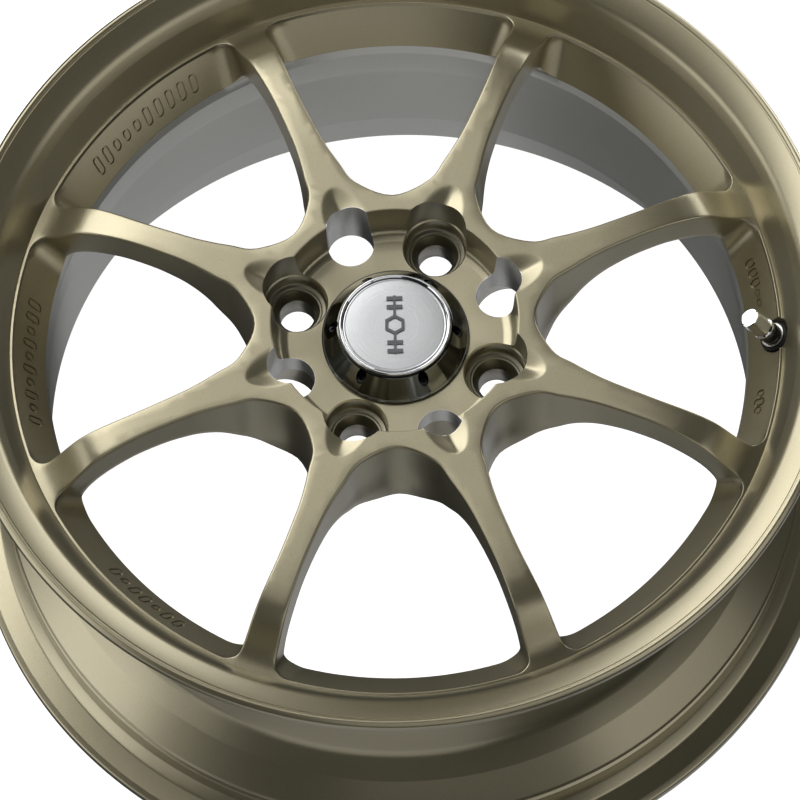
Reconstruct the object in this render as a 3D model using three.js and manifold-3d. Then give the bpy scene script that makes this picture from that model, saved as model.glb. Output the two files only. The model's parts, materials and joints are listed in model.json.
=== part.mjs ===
// Forged one-piece racing wheel, 15 x 6.5 inch, lying on its inboard flange.
// Units are millimetres. +Z is the wheel's axis and points out of its outboard face.
// The origin is on the axis, at the plane that the inboard flange rests on.
// The valve is on +X. The eight spokes start 22.5 degrees from +X.
import * as THREE from 'three';
import { mergeVertices } from 'three/addons/utils/BufferGeometryUtils.js';
import Module from 'manifold-3d';

const wasm = await Module();
wasm.setup();

const DEG = Math.PI / 180;
const CLEARANCE = 0.3;

// ---- Rim: standard 15 inch bead seats, 6.5 inch between the flanges
const FLANGE_R = 207.5;
const BEAD_SEAT_R = 190.1;
const WIDTH = 178;
const RIM_SIDES = 48;
const LEDGE_TOP_R = 180.4;
const LEDGE_BOTTOM_R = 164.6;
const LEDGE_TOP_Z = 151.5;
const LEDGE_BOTTOM_Z = 135.7;

// ---- Hub and spokes
const SPOKES = 8;
const HUB_R = 68;
const SPOKE_PITCH = 360 / SPOKES;
const FACE_Z = 175.5;
const PAD_Z = 127;
const RECESS_R = 57.5;
const RECESS_DEPTH = 19;
const FLOOR_Z = FACE_Z - RECESS_DEPTH;
const HUB_BORE_R = 36.55;
const CAP_BORE_R = 31.5;
const CAP_LAND = 9.5;
const FACE_SIDES = 48;
const HUB_SIDES = 32;
const HOLE_SIDES = 16;
const CAP_SIDES = 36;
const VALVE_SIDES = 16;
const WALL_DRAFT = 1.8;
const WINDOW_TOP_CORNER_R = 8;
const WINDOW_BOTTOM_CORNER_R = 10;

// ---- Bolt circle: four lug holes and four lightening holes in turn
const BOLT_CIRCLE_R = 50;
const COUNTERBORE_R = 14.4;
const COUNTERBORE_DEPTH = 8;
const SEAT_TOP_R = 11;
const SEAT_DEPTH = 6;
const LUG_HOLE_R = 8.2;
const LIGHTENING_CIRCLE_R = 52.8;
const LIGHTENING_HOLE_R = 10.9;
const REAR_POCKET_R = 14;
const REAR_POCKET_Z = 144.5;
const SCALLOP_TIP_R = 74.8;
const SCALLOP_HALF_ANGLE = 33 * DEG;
const SCALLOP_LENGTH = 24;
const SCALLOP_FLATNESS = 0.31;

// ---- Centre cap
const CAP_BASE_R = 34.5;
const CAP_TOP_R = 26.6;
const CAP_SHELF_Z = 12.3;
const CAP_CAVITY_R = 26;
const BEZEL_R = 26.2;
const BEZEL_INNER_R = 24.4;
const DISC_R = 24.1;
const CAP_LEGS = 6;
const LEG_OUTER_R = 31.1;
const LEG_INNER_R = 28.8;
const CAP_SCREWS = 6;
const CAP_SCREW_PHASE = -4;
const CAP_SCREW_CIRCLE_R = 28.9;
const CAP_SCREW_HOLE_R = 2.4;

// ---- Tyre valve, in its own frame: 0 is the ledge surface, + is outward
const VALVE_R = 176.5;
const VALVE_Z = 147.6;
const VALVE_TILT = 30 * DEG;
const VALVE_HOLE_R = 4.25;
const VALVE_RECESS_R = 7.8;
const VALVE_RECESS_DEPTH = 2;
const VALVE_WALL = 6;
const VALVE_STEM_R = 3.6;
const VALVE_STEM_TOP = 20;
const HEX_CORNER_R = 5.1;

const COLOURS = {
  bronze: [0x8f8668, 0.42, 0.75],
  gunmetal: [0x45453f, 0.18, 0.9],
  chrome: [0xd8dadb, 0.08, 1],
  silver: [0xe4e5e6, 0.3, 0.9],
  dark: [0x2b2b2c, 0.45, 0.6],
  rubber: [0x161616, 0.8, 0],
  steel: [0x9a9b9c, 0.35, 0.9],
  brass: [0xb89b55, 0.35, 0.9],
};

const wheel = new THREE.Group();

function addMesh(name, geometry, finish, parent = wheel) {
  const [color, roughness, metalness] = COLOURS[finish];
  const material = new THREE.MeshStandardMaterial({ color, roughness, metalness });
  const mesh = new THREE.Mesh(geometry, material);
  mesh.name = name;
  parent.add(mesh);
  return mesh;
}

// ---- Solid helpers

function toSolid(geometry) {
  const plain = geometry.clone();
  for (const attribute of Object.keys(plain.attributes)) {
    if (attribute !== 'position') plain.deleteAttribute(attribute);
  }
  const merged = mergeVertices(plain, 1e-4);
  const vertProperties = new Float32Array(merged.attributes.position.array);
  const triVerts = new Uint32Array(merged.index.array);
  return new wasm.Manifold(new wasm.Mesh({ numProp: 3, vertProperties, triVerts }));
}

function toGeometry(solid) {
  const mesh = solid.getMesh();
  const geometry = new THREE.BufferGeometry();
  geometry.setAttribute('position', new THREE.BufferAttribute(mesh.vertProperties, 3));
  geometry.setIndex(new THREE.BufferAttribute(mesh.triVerts, 1));
  return geometry;
}

// A solid of revolution about Z. The profile is a list of [radius, z] and runs
// anticlockwise in the (radius, z) plane, from the axis to the axis or closed on itself.
function turned(profile, sides) {
  const points = profile.map(([r, z]) => new THREE.Vector2(r, z));
  const onAxis = points[0].x === 0;
  if (!onAxis) points.push(points[0].clone());
  const geometry = new THREE.LatheGeometry(points, sides);
  geometry.rotateX(Math.PI / 2);
  return geometry;
}

function turnedRing(innerR, outerR, z0, z1, sides) {
  return turned([[innerR, z0], [outerR, z0], [outerR, z1], [innerR, z1]], sides);
}

function turnedDisc(radius, z0, z1, sides) {
  return turned([[0, z0], [radius, z0], [radius, z1], [0, z1]], sides);
}

function around(angleDegrees, radius) {
  const angle = angleDegrees * DEG;
  return [radius * Math.cos(angle), radius * Math.sin(angle)];
}

// ---- Rim barrel with both flanges, bead seats, drop well and inner ledge

// The inner side round the spokes' ends, from front to back.
const SPOKE_SEAT = [
  [190.5, 169.2], [186.4, 162], [LEDGE_TOP_R, LEDGE_TOP_Z],
  [LEDGE_BOTTOM_R, LEDGE_BOTTOM_Z], [163.6, 130], [165, 110],
];
const RIM_PROFILE = [
  // inboard flange, then the tyre side from back to front
  [187.5, 0], [205.5, 0], [FLANGE_R, 2], [FLANGE_R, 5.5], [205.5, 7.5],
  [194, 10.5], [BEAD_SEAT_R, 16], [188.4, 28], [BEAD_SEAT_R, 31],
  [178, 47], [169.3, 60], [169.3, 120],
  [181, 138], [188.8, 142], [BEAD_SEAT_R, 145.5],
  [BEAD_SEAT_R, 163], [194, 167.5], [205.5, 170], [FLANGE_R, 172],
  // outboard flange, then the inner side from front to back
  [FLANGE_R, 176.2], [205.6, WIDTH], [196.5, 174.2],
  ...SPOKE_SEAT,
  [166, 58], [183.4, 30], [185.2, 6],
];

// ---- Blank: the solid of revolution that the hub and the spokes are cut from

const BLANK_PROFILE = [
  [0, PAD_Z], [HUB_R, PAD_Z], [84, 144], [95, 151.4], [112, 155.5],
  [140, 155], [158, 147], [168, 131], [184, 148],
  [180, 152.3], [172, 154.8], [165, 161], [156, 168.5], [140, 173.2],
  [105, FACE_Z], [0, FACE_Z],
];

function faceBlank() {
  return toSolid(turned(BLANK_PROFILE, FACE_SIDES));
}

// ---- Window between two spokes: its outline at one level, along its own +X

const WINDOW_INNER_R = 65.3;
const WINDOW_SIDE = [
  [WINDOW_INNER_R, 0], [72.8, 17.3], [82.8, 24.5], [92.8, 30.7],
  [102.8, 35.8], [122.8, 44.5], [142.8, 51.8],
];
const SIDE_STEPS = 9;
const CORNER_STEPS = 3;
const ARC_STEPS = 1;
const WINDOW_MOUTH = 12;

function windowSide() {
  const mirrored = WINDOW_SIDE.slice(1).reverse().map(([x, y]) => new THREE.Vector2(x, -y));
  const points = mirrored.concat(WINDOW_SIDE.map(([x, y]) => new THREE.Vector2(x, y)));
  const spline = new THREE.SplineCurve(points);
  const samples = [];
  for (let i = 0; i <= SIDE_STEPS; i += 1) {
    const t = 0.5 + (0.5 * i) / SIDE_STEPS;
    const point = spline.getPoint(t);
    const tangent = spline.getTangent(t);
    samples.push({ point, inward: new THREE.Vector2(tangent.y, -tangent.x), tangent });
  }
  return samples;
}

// Outline from the middle of the inner end, along one side and a rounded corner that
// ends on outerR, then out into the rim's place. The other half is its mirror image.
function windowHalf(outerR, cornerR, inset) {
  const side = windowSide();
  const half = side.map(({ point, inward }) => point.clone().addScaledVector(inward, inset));
  const last = side[side.length - 1];
  const start = half[half.length - 1];
  const direction = last.tangent;
  const offset = start.clone().addScaledVector(last.inward, cornerR);
  const b = offset.dot(direction);
  const c = offset.lengthSq() - (outerR - cornerR) ** 2;
  const run = -b + Math.sqrt(b * b - c);
  const centre = offset.clone().addScaledVector(direction, run);
  const from = Math.atan2(-last.inward.y, -last.inward.x);
  const to = Math.atan2(centre.y, centre.x);
  for (let i = 0; i <= CORNER_STEPS; i += 1) {
    const angle = from + ((to - from) * i) / CORNER_STEPS;
    half.push(new THREE.Vector2(
      centre.x + cornerR * Math.cos(angle),
      centre.y + cornerR * Math.sin(angle),
    ));
  }
  const mouthR = outerR + WINDOW_MOUTH;
  for (let i = 0; i <= ARC_STEPS; i += 1) {
    const angle = to * (1 - i / ARC_STEPS);
    half.push(new THREE.Vector2(mouthR * Math.cos(angle), mouthR * Math.sin(angle)));
  }
  return half;
}

function windowOutline(outerR, cornerR, inset) {
  const half = windowHalf(outerR, cornerR, inset);
  const mirrored = half.slice(1, -1).reverse().map((p) => new THREE.Vector2(p.x, -p.y));
  return half.concat(mirrored).reverse();
}

// A closed solid through outlines with equal numbers of points, lowest first.
function lofted(levels) {
  const count = levels[0].outline.length;
  const positions = [];
  for (const { outline, z } of levels) {
    for (const point of outline) positions.push(point.x, point.y, z);
  }
  const indices = [];
  for (let level = 0; level < levels.length - 1; level += 1) {
    for (let i = 0; i < count; i += 1) {
      const next = (i + 1) % count;
      const a = level * count + i;
      const b = level * count + next;
      indices.push(a, b, a + count, b, b + count, a + count);
    }
  }
  const cap = (level, flip) => {
    const base = level * count;
    for (const [a, b, c] of THREE.ShapeUtils.triangulateShape(levels[level].outline, [])) {
      indices.push(base + a, base + (flip ? c : b), base + (flip ? b : c));
    }
  };
  cap(0, true);
  cap(levels.length - 1, false);
  const geometry = new THREE.BufferGeometry();
  geometry.setAttribute('position', new THREE.Float32BufferAttribute(positions, 3));
  geometry.setIndex(indices);
  return geometry;
}

// The cutter's rounded corners follow the sloping ledge between its two edges.
function windowCutter() {
  const bottom = windowOutline(LEDGE_BOTTOM_R, WINDOW_BOTTOM_CORNER_R, WALL_DRAFT);
  const top = windowOutline(LEDGE_TOP_R - 0.9, WINDOW_TOP_CORNER_R, WALL_DRAFT * 0.35);
  const above = windowOutline(LEDGE_TOP_R - 0.9, WINDOW_TOP_CORNER_R, 0);
  return toSolid(lofted([
    { outline: bottom, z: PAD_Z - 10 },
    { outline: bottom, z: LEDGE_BOTTOM_Z },
    { outline: top, z: LEDGE_TOP_Z },
    { outline: above, z: FACE_Z + 5 },
  ]));
}

// ---- Hub cuts

function hubRecess() {
  return toSolid(turned([
    [0, FLOOR_Z], [51, FLOOR_Z], [54.5, FLOOR_Z + 1.5], [56.2, FLOOR_Z + 5],
    [RECESS_R, FACE_Z], [RECESS_R, FACE_Z + 5], [0, FACE_Z + 5],
  ], HUB_SIDES));
}

function hubBore() {
  const step = FLOOR_Z - CAP_LAND;
  return toSolid(turned([
    [0, PAD_Z - 5], [HUB_BORE_R + 1.5, PAD_Z - 5], [HUB_BORE_R + 1.5, PAD_Z],
    [HUB_BORE_R, PAD_Z + 1.5], [HUB_BORE_R, step],
    [CAP_BORE_R, step], [CAP_BORE_R, FLOOR_Z + 5], [0, FLOOR_Z + 5],
  ], HUB_SIDES));
}

function lugHole(x, y) {
  const shoulder = FLOOR_Z - COUNTERBORE_DEPTH;
  const profile = [
    [0, PAD_Z - 5], [LUG_HOLE_R, PAD_Z - 5], [LUG_HOLE_R, shoulder - SEAT_DEPTH],
    [SEAT_TOP_R, shoulder], [COUNTERBORE_R, shoulder], [COUNTERBORE_R, FACE_Z + 5], [0, FACE_Z + 5],
  ];
  return toSolid(turned(profile, HOLE_SIDES)).translate([x, y, 0]);
}

// A through hole with a wider pocket behind it.
function lighteningHole(x, y) {
  const profile = [
    [0, PAD_Z - 5], [REAR_POCKET_R, PAD_Z - 5], [REAR_POCKET_R, REAR_POCKET_Z],
    [LIGHTENING_HOLE_R, REAR_POCKET_Z], [LIGHTENING_HOLE_R, FACE_Z + 5], [0, FACE_Z + 5],
  ];
  return toSolid(turned(profile, HOLE_SIDES)).translate([x, y, 0]);
}

// A flattened cone lying in the face, with its tip on the spoke's root and its mouth over the hole.
function scallop(angleDegrees) {
  const radius = SCALLOP_LENGTH * Math.tan(SCALLOP_HALF_ANGLE);
  const cone = new THREE.ConeGeometry(radius, SCALLOP_LENGTH, 12);
  cone.rotateZ(-Math.PI / 2);
  cone.scale(1, 1, SCALLOP_FLATNESS);
  cone.translate(SCALLOP_TIP_R - SCALLOP_LENGTH / 2, 0, FACE_Z);
  cone.rotateZ(angleDegrees * DEG);
  return toSolid(cone);
}

function valveFrame(geometry) {
  const matrix = new THREE.Matrix4().makeRotationY(-VALVE_TILT);
  matrix.setPosition(VALVE_R, 0, VALVE_Z);
  geometry.applyMatrix4(matrix);
  return geometry;
}

function valveHole() {
  const floor = -VALVE_RECESS_DEPTH;
  const back = floor - VALVE_WALL;
  return toSolid(valveFrame(turned([
    [0, back - 9], [9.5, back - 9], [9.5, back], [VALVE_HOLE_R, back], [VALVE_HOLE_R, floor],
    [VALVE_RECESS_R, floor], [VALVE_RECESS_R, 9], [0, 9],
  ], VALVE_SIDES)));
}

// ---- The wheel is one forging. It is kept here as a barrel, a hub and eight spokes,
// each a simple solid with a fine gap to the next.

function makeRimBarrel() {
  const barrel = toSolid(turned(RIM_PROFILE, RIM_SIDES));
  return toGeometry(barrel.subtract(valveHole()));
}

function makeHub() {
  let hub = faceBlank().intersect(toSolid(turnedDisc(HUB_R, 0, WIDTH, FACE_SIDES)));
  hub = hub.subtract(hubRecess()).subtract(hubBore());
  const cutter = windowCutter();
  for (let i = 0; i < SPOKES; i += 1) {
    const angle = (i + 0.5) * SPOKE_PITCH;
    const isLugHole = i % 2 === 1;
    const [x, y] = around(angle, isLugHole ? BOLT_CIRCLE_R : LIGHTENING_CIRCLE_R);
    hub = hub.subtract(cutter.rotate([0, 0, i * SPOKE_PITCH]));
    hub = hub.subtract(isLugHole ? lugHole(x, y) : lighteningHole(x, y));
    hub = hub.subtract(scallop(angle));
  }
  return toGeometry(hub);
}

// The slice of the face that belongs to one spoke, which lies along +X.
function spokeSlice() {
  const reach = FLANGE_R * 1.1;
  const halfWidth = reach * Math.tan((SPOKE_PITCH / 2) * DEG);
  const shape = new THREE.Shape();
  shape.moveTo(0, 0);
  shape.lineTo(reach, -halfWidth);
  shape.lineTo(reach, halfWidth);
  shape.closePath();
  return toSolid(new THREE.ExtrudeGeometry(shape, { depth: WIDTH, bevelEnabled: false }));
}

function spokeSeat() {
  const gap = CLEARANCE * Math.SQRT2;
  const [front, back] = [SPOKE_SEAT[0][1], SPOKE_SEAT[SPOKE_SEAT.length - 1][1]];
  const inner = SPOKE_SEAT.map(([r, z]) => [r - gap, z]);
  return toSolid(turned([[FLANGE_R, back], [FLANGE_R, front], ...inner], RIM_SIDES));
}

function makeSpoke() {
  const cutter = windowCutter();
  let spoke = faceBlank().intersect(spokeSlice());
  for (const side of [-0.5, 0.5]) {
    spoke = spoke.subtract(cutter.rotate([0, 0, side * SPOKE_PITCH]));
  }
  spoke = spoke.subtract(toSolid(turnedDisc(HUB_R + CLEARANCE, 0, WIDTH, FACE_SIDES)));
  return toGeometry(spoke.subtract(spokeSeat()).subtract(scallop(0)));
}

addMesh('rim_barrel', makeRimBarrel(), 'bronze');
addMesh('hub', makeHub(), 'bronze');
const spokeShape = makeSpoke();
for (let i = 0; i < SPOKES; i += 1) {
  const spoke = addMesh(`spoke_${i + 1}`, spokeShape, 'bronze');
  spoke.rotation.z = (i + 0.5) * SPOKE_PITCH * DEG;
}

// ---- Centre cap, in its own group: 0 is the hub recess's floor

const capGroup = new THREE.Group();
capGroup.position.z = FLOOR_Z;
wheel.add(capGroup);

function capScrewPlaces() {
  const places = [];
  for (let i = 0; i < CAP_SCREWS; i += 1) {
    places.push(around(CAP_SCREW_PHASE + (i * 360) / CAP_SCREWS, CAP_SCREW_CIRCLE_R));
  }
  return places;
}

function makeCapBody() {
  const profile = [
    [LEG_INNER_R, -13], [30.4, -13], [31.2, -11.6], [30.5, -10], [LEG_OUTER_R, -5],
    [LEG_OUTER_R, 0.6], [31.7, 0.6], [31.7, 2.1], [33.9, 2.1], [33.9, CLEARANCE],
    [CAP_BASE_R, CLEARANCE], [CAP_BASE_R, 1.3], [33.8, 1.9], [CAP_TOP_R, CAP_SHELF_Z],
    [20, CAP_SHELF_Z], [20, 10.3], [CAP_CAVITY_R, 9.3], [CAP_CAVITY_R, -1.5], [LEG_INNER_R, -2.5],
  ];
  let body = toSolid(turned(profile, CAP_SIDES));
  const slot = new THREE.BoxGeometry(8, 9, 9);
  slot.translate(30, 0, -10.5);
  for (let i = 0; i < CAP_LEGS; i += 1) {
    body = body.subtract(toSolid(slot).rotate([0, 0, (i * 360) / CAP_LEGS]));
  }
  const hole = toSolid(turned([
    [0, -1], [1.6, -1], [1.6, 3.6], [CAP_SCREW_HOLE_R, 3.6], [CAP_SCREW_HOLE_R, 16], [0, 16],
  ], 12));
  for (const [x, y] of capScrewPlaces()) body = body.subtract(hole.translate([x, y, 0]));
  return toGeometry(body);
}

function makeCapScrew() {
  const screw = toSolid(turned([
    [0, -0.6], [1.25, -0.6], [1.25, 3.9], [2.05, 3.9], [2.05, 6.1], [1.8, 6.4], [0, 6.4],
  ], 12));
  const socket = new THREE.CylinderGeometry(1.15, 1.15, 3, 6);
  socket.rotateX(Math.PI / 2);
  socket.translate(0, 0, 6.6);
  return toGeometry(screw.subtract(toSolid(socket)));
}

// A plain pictogram of an axle: a hexagonal ring with two bars on each side, on one spine.
function makeEmblem(z0, z1) {
  const depth = z1 - z0;
  const bar = (x, width, height) => {
    const box = new THREE.BoxGeometry(height, width, depth);
    box.translate(0, x, z0 + depth / 2);
    return toSolid(box);
  };
  const prism = (radius) => {
    const hexagon = new THREE.CylinderGeometry(radius, radius, depth, 6);
    hexagon.rotateX(Math.PI / 2);
    hexagon.translate(0, 0, z0 + depth / 2);
    return toSolid(hexagon);
  };
  let emblem = bar(0, 30, 1.3).add(prism(5.2));
  for (const x of [-13.6, -9.2, 9.2, 13.6]) emblem = emblem.add(bar(x, 2, 7.4));
  const hole = new THREE.CylinderGeometry(3.5, 3.5, depth * 3, 6);
  hole.rotateX(Math.PI / 2);
  hole.translate(0, 0, z0 + depth / 2);
  return toGeometry(emblem.subtract(toSolid(hole)));
}

// A wire ring with a gap, held inside the legs.
function makeSpringRing(radius, wireR, z, gapDegrees) {
  const arc = new THREE.EllipseCurve(
    0, 0, radius, radius, (gapDegrees / 2) * DEG, (360 - gapDegrees / 2) * DEG,
  );
  const path = new THREE.CatmullRomCurve3(arc.getPoints(30).map((p) => new THREE.Vector3(p.x, p.y, z)));
  const section = new THREE.Shape();
  section.absarc(0, 0, wireR, 0, Math.PI * 2);
  return new THREE.ExtrudeGeometry(section, { steps: 30, curveSegments: 3, extrudePath: path });
}

function makeTorus(radius, tubeR, z) {
  const ring = new THREE.TorusGeometry(radius, tubeR, 6, CAP_SIDES);
  ring.translate(0, 0, z);
  return ring;
}

addMesh('cap_body', makeCapBody(), 'gunmetal', capGroup);
addMesh('cap_bezel', turned([
  [BEZEL_INNER_R, 12.6], [BEZEL_R, 12.6], [BEZEL_R, 13.8],
  [25.8, 14.4], [25, 14.4], [BEZEL_INNER_R, 13.9],
], CAP_SIDES), 'chrome', capGroup);
addMesh('cap_disc', turnedDisc(DISC_R, 12.6, 13.5, CAP_SIDES), 'silver', capGroup);
addMesh('cap_emblem', makeEmblem(13.8, 14.1), 'dark', capGroup);
addMesh('cap_retaining_ring', makeSpringRing(27.7, 0.7, -10.4, 16), 'steel', capGroup);
addMesh('cap_seal', makeTorus(32.8, 0.7, 1.05), 'rubber', capGroup);
const capScrew = makeCapScrew();
capScrewPlaces().forEach(([x, y], i) => {
  const mesh = addMesh(`cap_screw_${i + 1}`, capScrew, 'dark', capGroup);
  mesh.position.set(x, y, 0);
});

// ---- Tyre valve, in a group tilted towards the wheel's axis

const valveGroup = new THREE.Group();
valveGroup.position.set(VALVE_R, 0, VALVE_Z);
valveGroup.rotation.y = -VALVE_TILT;
wheel.add(valveGroup);

const VALVE_BACK = -VALVE_RECESS_DEPTH - VALVE_WALL;
const CORE_BORE_R = 2.5;
const AIR_HOLE_R = 1.2;

function makeValveStem() {
  const head = VALVE_BACK - 2.4;
  return turned([
    [AIR_HOLE_R, head - 2], [7.2, head - 2], [7.2, head], [3.9, head], [3.9, 8.2],
    [VALVE_STEM_R, 8.6], [VALVE_STEM_R, VALVE_STEM_TOP - 0.5], [3.2, VALVE_STEM_TOP],
    [CORE_BORE_R, VALVE_STEM_TOP], [CORE_BORE_R, 4], [AIR_HOLE_R, 2.7],
  ], VALVE_SIDES);
}

function hexPrism(cornerR, z0, z1) {
  const prism = new THREE.CylinderGeometry(cornerR, cornerR, z1 - z0, 6);
  prism.rotateX(Math.PI / 2);
  prism.translate(0, 0, (z0 + z1) / 2);
  return toSolid(prism);
}

function makeValveCap() {
  const crown = toSolid(turned([
    [0, 9.2], [5.6, 9.2], [5.6, 21.6], [4.3, 23.4], [0, 23.4],
  ], VALVE_SIDES));
  const collar = toSolid(turned([
    [0, 9.2], [4.9, 9.2], [5.3, 9.6], [5.3, 10.4], [4.9, 10.8], [0, 10.8],
  ], VALVE_SIDES));
  const bore = toSolid(turnedDisc(VALVE_STEM_R + CLEARANCE, 8, 21.2, VALVE_SIDES));
  const body = hexPrism(HEX_CORNER_R, 10.3, 23.4).intersect(crown).add(collar);
  return toGeometry(body.subtract(bore));
}

function makeCorePin() {
  return turned([
    [0, 5.4], [1.3, 5.4], [1.3, 6], [0.6, 6], [0.6, 13.6], [1.45, 13.6], [1.45, 14.2],
    [0.6, 14.2], [0.6, 19.5], [0, 19.5],
  ], 12);
}

function makeCoreBody() {
  return turned([
    [0.95, 8], [2.2, 8], [2.2, 19.2], [0.95, 19.2], [0.95, 14.7], [1.75, 14.6], [1.75, 9], [0.95, 8.9],
  ], 16);
}

class Helix extends THREE.Curve {
  constructor(radius, z0, z1, turns) {
    super();
    Object.assign(this, { radius, z0, z1, turns });
  }

  getPoint(t, target = new THREE.Vector3()) {
    const angle = t * this.turns * Math.PI * 2;
    const z = this.z0 + (this.z1 - this.z0) * t;
    return target.set(this.radius * Math.cos(angle), this.radius * Math.sin(angle), z);
  }
}

function makeCoreSpring() {
  const section = new THREE.Shape();
  section.absarc(0, 0, 0.17, 0, Math.PI * 2);
  const extrudePath = new Helix(1.2, 9.4, 13.1, 5);
  return new THREE.ExtrudeGeometry(section, { steps: 40, curveSegments: 2, extrudePath });
}

addMesh('valve_stem', makeValveStem(), 'steel', valveGroup);
const innerSeal = turnedRing(4.2, 7, VALVE_BACK - 2.1, VALVE_BACK - 0.3, VALVE_SIDES);
addMesh('valve_inner_seal', innerSeal, 'rubber', valveGroup);
addMesh('valve_grommet', turned([
  [4.25, -1.7], [7.3, -1.7], [7.3, 0], [6.6, 0.8], [4.25, 0.8],
], VALVE_SIDES), 'rubber', valveGroup);
addMesh('valve_washer', turnedRing(4.25, 6, 1.1, 1.9, VALVE_SIDES), 'steel', valveGroup);
addMesh('valve_nut', turned([
  [4.2, 2.2], [5, 2.2], [5, 7.9], [4.6, 8.4], [4.2, 8.4],
], VALVE_SIDES), 'gunmetal', valveGroup);
addMesh('valve_cap', makeValveCap(), 'chrome', valveGroup);
addMesh('valve_cap_gasket', turnedRing(1.6, 3.5, 20.3, 20.9, VALVE_SIDES), 'rubber', valveGroup);
addMesh('valve_core_body', makeCoreBody(), 'brass', valveGroup);
addMesh('valve_core_pin', makeCorePin(), 'brass', valveGroup);
addMesh('valve_core_seal', turnedRing(0.9, 1.9, 6.3, 7.7, 16), 'rubber', valveGroup);
addMesh('valve_core_spring', makeCoreSpring(), 'steel', valveGroup);

export default wheel;
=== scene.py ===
"""Forged one-piece racing wheel: fine surfaces, finishes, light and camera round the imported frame.

Lengths are in millimetres until a mesh is made, where MM turns them into metres.
"""
import json
import math

import bmesh
import bpy
import numpy as np
from mathutils import Matrix, Vector
from mathutils.geometry import delaunay_2d_cdt


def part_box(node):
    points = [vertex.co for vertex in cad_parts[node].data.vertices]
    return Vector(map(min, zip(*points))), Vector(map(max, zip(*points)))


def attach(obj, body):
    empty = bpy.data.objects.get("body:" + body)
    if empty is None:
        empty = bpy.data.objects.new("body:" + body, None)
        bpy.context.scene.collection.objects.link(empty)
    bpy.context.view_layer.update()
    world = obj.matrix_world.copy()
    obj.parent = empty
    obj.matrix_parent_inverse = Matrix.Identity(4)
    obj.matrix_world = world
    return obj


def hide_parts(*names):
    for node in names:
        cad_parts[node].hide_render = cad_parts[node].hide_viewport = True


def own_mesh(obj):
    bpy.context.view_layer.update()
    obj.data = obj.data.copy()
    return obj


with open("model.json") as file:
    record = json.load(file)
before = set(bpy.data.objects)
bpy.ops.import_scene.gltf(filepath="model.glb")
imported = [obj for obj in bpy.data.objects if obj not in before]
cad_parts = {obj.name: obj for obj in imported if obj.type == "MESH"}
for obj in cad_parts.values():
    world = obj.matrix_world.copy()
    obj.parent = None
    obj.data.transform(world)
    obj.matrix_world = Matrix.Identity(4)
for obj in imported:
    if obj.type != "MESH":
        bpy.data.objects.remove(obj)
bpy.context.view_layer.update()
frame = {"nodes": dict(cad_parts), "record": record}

MM = 0.001
DEG = math.pi / 180
WELD = 0.004
TURN = 256  # steps round the rim
HUB_TURN = 144  # steps round the hub's circles
SMALL_TURN = 64  # steps round the small turned pieces


def node_box(node):
    """A node's lowest and highest corner, in millimetres."""
    return [np.array(corner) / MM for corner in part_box(node)]


# ---- Driving dimensions, from the frame where it shows them

rim_high = node_box("rim_barrel")[1]
hub_low, hub_high = node_box("hub")
WIDTH = rim_high[2]
FLANGE_R = rim_high[0]
FACE_Z = hub_high[2]
PAD_Z = hub_low[2]
BEAD_SEAT_R = 190.1
LEDGE_TOP_R, LEDGE_TOP_Z = 180.4, 151.5
LEDGE_BOTTOM_R, LEDGE_BOTTOM_Z = 164.6, 135.7
SPOKES = 8
PITCH = 2 * math.pi / SPOKES
FLOOR_Z = FACE_Z - 19
RECESS_R = 57.5
BORE_R = 36.55
CAP_BORE_R = 31.5
BOLT_CIRCLE_R = 50
VALVE_PLACE = (176.5, 0, 147.6)
VALVE_TILT = 30 * DEG


# ---- Mesh helpers


class Surface:
    """Collects patches of points and faces, and welds them into one mesh."""

    def __init__(self):
        self.points = []
        self.faces = []

    def grid(self, rows, closed=True):
        """Quads between rows of equally many points. closed joins each row's end to its start."""
        base = len(self.points)
        count = len(rows[0])
        for row in rows:
            self.points.extend(row)
        for i in range(len(rows) - 1):
            for j in range(count if closed else count - 1):
                k = (j + 1) % count
                a, b = base + i * count, base + (i + 1) * count
                self.faces.append((a + j, a + k, b + k, b + j))
        return self

    def lid(self, row):
        """One flat face that closes a row."""
        base = len(self.points)
        self.points.extend(row)
        self.faces.append(tuple(range(base, base + len(row))))
        return self

    def patch(self, points, faces):
        """Faces given by the numbers of their points."""
        base = len(self.points)
        self.points.extend(points)
        self.faces.extend(tuple(base + i for i in face) for face in faces)
        return self

    def build(self, name, matrix=Matrix.Identity(4)):
        """The welded, outward-facing mesh as an object in metres. matrix places it, in millimetres."""
        mesh = bpy.data.meshes.new(name)
        mesh.from_pydata([tuple(p) for p in self.points], [], self.faces)
        work = bmesh.new()
        work.from_mesh(mesh)
        bmesh.ops.remove_doubles(work, verts=work.verts, dist=WELD)
        bmesh.ops.dissolve_degenerate(work, edges=work.edges, dist=WELD / 4)
        bmesh.ops.recalc_face_normals(work, faces=work.faces)
        bmesh.ops.transform(work, matrix=Matrix.Scale(MM, 4) @ matrix, verts=work.verts)
        work.to_mesh(mesh)
        work.free()
        piece = bpy.data.objects.new(name, mesh)
        bpy.context.scene.collection.objects.link(piece)
        return piece


def ring(radius, z, count, start=0.0):
    """A circle of points round the Z axis."""
    angles = start + np.arange(count) * 2 * math.pi / count
    return np.stack([radius * np.cos(angles), radius * np.sin(angles), np.full(count, z)], 1)


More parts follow.
